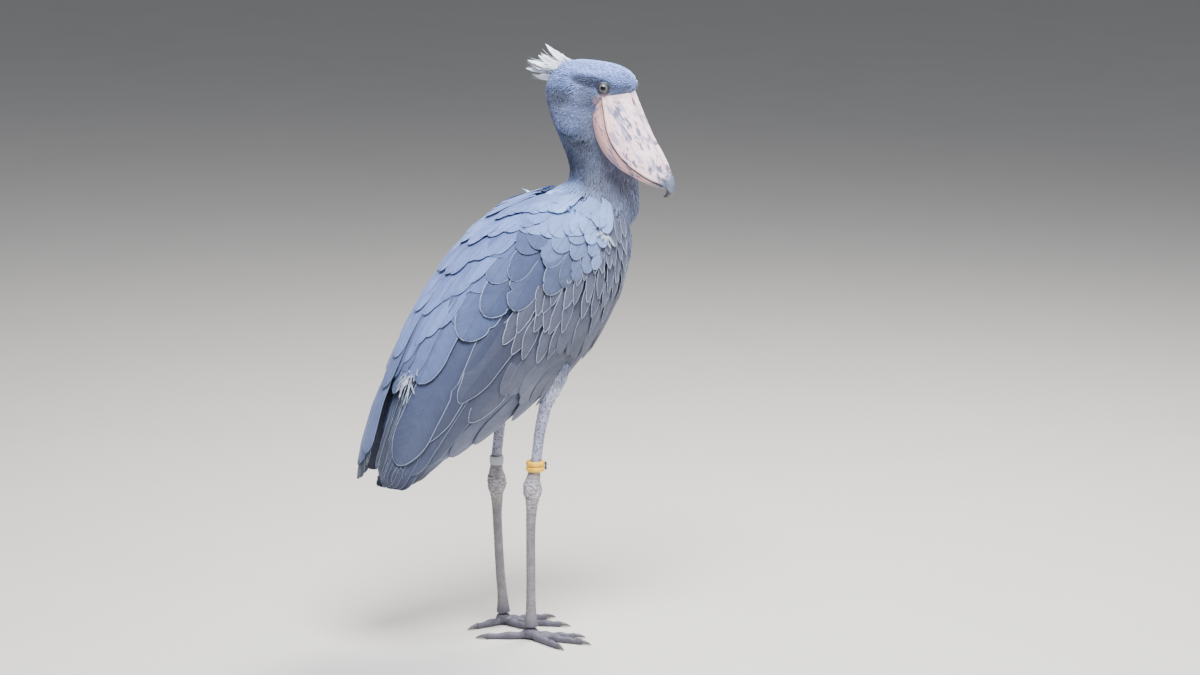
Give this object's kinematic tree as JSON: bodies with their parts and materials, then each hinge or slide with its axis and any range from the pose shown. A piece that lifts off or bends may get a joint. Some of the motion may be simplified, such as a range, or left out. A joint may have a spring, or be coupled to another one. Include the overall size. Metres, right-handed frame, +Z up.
{
  "type": "shoebill",
  "caption": "Life-size still model of a standing shoebill with folded wings, its large hooked bill turned to its right and lowered, with rings on its legs.",
  "frame": {"origin": "on the ground, under the middle of the bounding box", "axes": "+X the way the body faces, +Y the bird's left, +Z up"},
  "size_m": [0.5544, 0.3022, 1.0946],
  "materials": {
    "plumage": "soft slate blue body feathers, paler and browner on the breast",
    "flight_feathers": "slate blue vanes with thin pale rims, darker towards the tips",
    "bill": "pinkish cream horn with blue-grey streaks, low gloss",
    "eye": "pale iris round a black pupil, wet gloss",
    "claw": "dark horn, low gloss",
    "leg_skin": "lilac grey scaled skin, paler and wrinkled at the heels",
    "band_yellow": "yellow plastic coil",
    "band_catch": "dark catch",
    "band_grey": "pale grey plastic strip"
  },
  "bodies": {
    "root": {"band_catch": "band_catch", "band_grey": "band_grey", "band_yellow": "band_yellow", "bill_lower": "bill", "bill_upper": "bill", "claw_left_hind": "claw", "claw_left_inner": "claw", "claw_left_middle": "claw", "claw_left_outer": "claw", "claw_right_hind": "claw", "claw_right_inner": "claw", "claw_right_middle": "claw", "claw_right_outer": "claw", "eye_left": "eye", "eye_right": "eye", "foot_left": "leg_skin", "foot_right": "leg_skin", "head": "plumage", "neck": "plumage", "shin_left": "leg_skin", "shin_right": "leg_skin", "tail": "flight_feathers", "tarsus_left": "leg_skin", "tarsus_right": "leg_skin", "thigh_left": "plumage", "thigh_right": "plumage", "torso": "plumage", "wing_left": "flight_feathers", "wing_right": "flight_feathers"}
  },
  "joints": []
}
